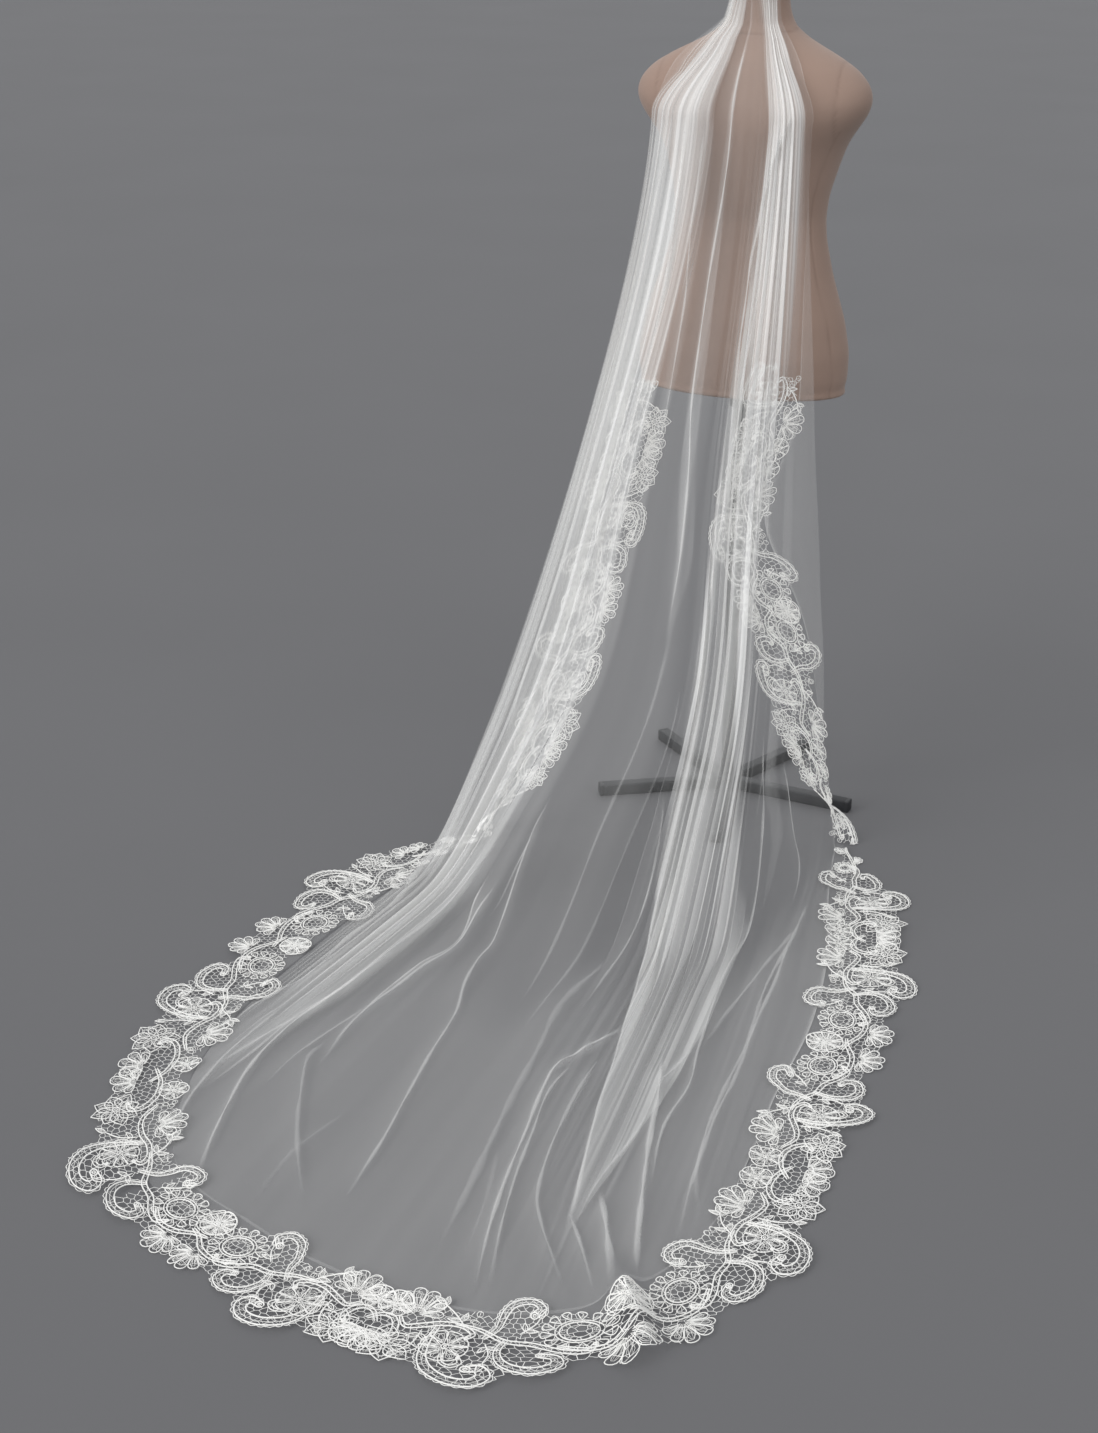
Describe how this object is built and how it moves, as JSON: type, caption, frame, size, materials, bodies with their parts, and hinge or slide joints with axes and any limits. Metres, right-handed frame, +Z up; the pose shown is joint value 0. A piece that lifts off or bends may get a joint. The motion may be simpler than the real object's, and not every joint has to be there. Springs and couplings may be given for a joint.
{
  "type": "bridal veil on dress form",
  "caption": "Long sheer veil gathered on a comb, worn over the neck of a limbless dress form on a pole stand, its train spread on the floor inside a border of openwork lace.",
  "frame": {"origin": "on the floor under the pole, at the centre of the stand's hub", "axes": "+Z up, +Y towards the front of the form, the train lies along -Y"},
  "size_m": [1.1972, 2.0324, 1.503],
  "materials": {
    "tulle": "sheer net",
    "lace": "corded lace",
    "form_cover": "matte jersey",
    "stand_steel": "satin black",
    "comb": "polished"
  },
  "bodies": {
    "root": {"form_torso": "form_cover", "neck_cap": "form_cover", "stand_hub": "stand_steel", "stand_leg_1": "stand_steel", "stand_leg_2": "stand_steel", "stand_leg_3": "stand_steel", "stand_leg_4": "stand_steel", "stand_leg_5": "stand_steel", "stand_pole": "stand_steel", "stand_collar": "stand_steel", "comb": "comb", "veil_gathers": "tulle", "veil_left_fall": "tulle", "veil_centre_fall": "tulle", "veil_right_fall": "tulle", "veil_train": "tulle", "lace_left_train": "lace", "lace_left_corner": "lace", "lace_tip": "lace", "lace_right_corner": "lace", "lace_right_train": "lace", "lace_left_fall": "lace", "lace_right_fall": "lace"}
  },
  "joints": []
}
